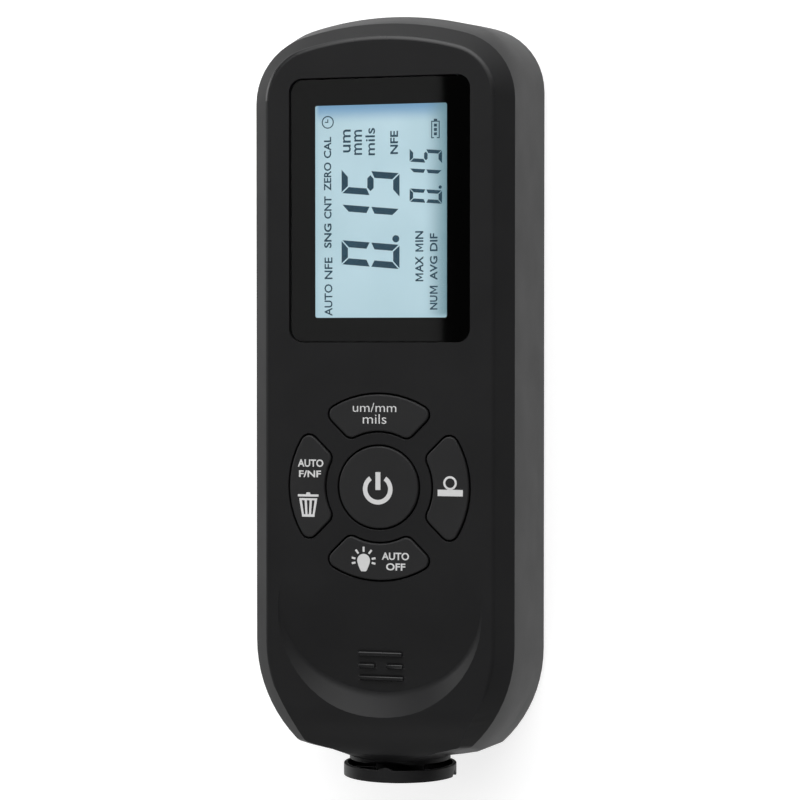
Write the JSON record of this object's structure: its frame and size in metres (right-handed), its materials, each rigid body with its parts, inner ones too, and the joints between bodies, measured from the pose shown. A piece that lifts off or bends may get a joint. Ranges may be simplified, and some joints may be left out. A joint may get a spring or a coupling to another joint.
{
  "type": "coating thickness gauge",
  "caption": "Handheld gauge with a bevelled black case, backlit display, round key with ring keys, thumb scoop and a sprung probe at its lower end.",
  "frame": {"origin": "middle of the case's length and width, on the flat back", "axes": "+X to the right of the display, +Y to the display end, +Z out of the front face"},
  "size_m": [0.0456, 0.1306, 0.0272],
  "materials": {
    "front_plastic": "satin moulded",
    "rear_plastic": "satin moulded",
    "window": "polished, black border",
    "display": "backlit liquid crystal",
    "backlight": "clear light guide",
    "frame_plastic": "moulded",
    "elastomer": "layered strip",
    "board": "solder resist",
    "chip": "moulded",
    "mat": "silicone",
    "key_rubber": "matt with light legends",
    "dome_steel": "stamped",
    "cell": "sleeved",
    "contact": "plated",
    "screw": "zinc",
    "probe_plastic": "satin moulded",
    "spring_steel": "drawn wire",
    "copper": "wound wire",
    "core_steel": "polished"
  },
  "bodies": {
    "case": {"rear_shell": "rear_plastic", "front_shell": "front_plastic", "lcd_window": "window", "lcd_frame": "frame_plastic", "lcd_glass": "display", "lcd_backlight": "backlight", "lcd_connector": "elastomer", "main_board": "board", "controller_chip": "chip", "buzzer": "chip", "keypad_mat": "mat", "switch_domes": "dome_steel", "cell_left": "cell", "cell_right": "cell", "contact_plates": "contact", "contact_springs": "contact", "case_screws": "screw", "probe_guide": "probe_plastic", "probe_spring": "spring_steel"},
    "power_key": {"key_power": "key_rubber"},
    "units_key": {"key_units": "key_rubber"},
    "mode_key": {"key_mode": "key_rubber"},
    "zero_key": {"key_zero": "key_rubber"},
    "light_key": {"key_light": "key_rubber"},
    "probe": {"probe_clip": "spring_steel", "probe_stem": "probe_plastic", "probe_coil": "copper", "probe_core": "core_steel", "probe_collar": "probe_plastic"},
    "cover": {"battery_cover": "rear_plastic"}
  },
  "joints": [
    {"name": "power_press", "type": "slide", "parent": "case", "child": "power_key", "axis": [0, 0, -1], "range_m": [0, 0.0007], "stiffness_N_per_m": 1000},
    {"name": "units_press", "type": "slide", "parent": "case", "child": "units_key", "axis": [0, 0, -1], "range_m": [0, 0.0007], "stiffness_N_per_m": 1000},
    {"name": "mode_press", "type": "slide", "parent": "case", "child": "mode_key", "axis": [0, 0, -1], "range_m": [0, 0.0007], "stiffness_N_per_m": 1000},
    {"name": "zero_press", "type": "slide", "parent": "case", "child": "zero_key", "axis": [0, 0, -1], "range_m": [0, 0.0007], "stiffness_N_per_m": 1000},
    {"name": "light_press", "type": "slide", "parent": "case", "child": "light_key", "axis": [0, 0, -1], "range_m": [0, 0.0007], "stiffness_N_per_m": 1000},
    {"name": "probe_press", "type": "slide", "parent": "case", "child": "probe", "axis": [0, 1, 0], "range_m": [0, 0.001], "stiffness_N_per_m": 1500, "deforming": ["probe_spring"]},
    {"name": "cover_swing", "type": "hinge", "parent": "case", "child": "cover", "pos_m": [0, 0.0189, 0.0009], "axis": [1, 0, 0], "range_deg": [0, 70], "stiffness_Nm_per_rad": 0.5}
  ]
}
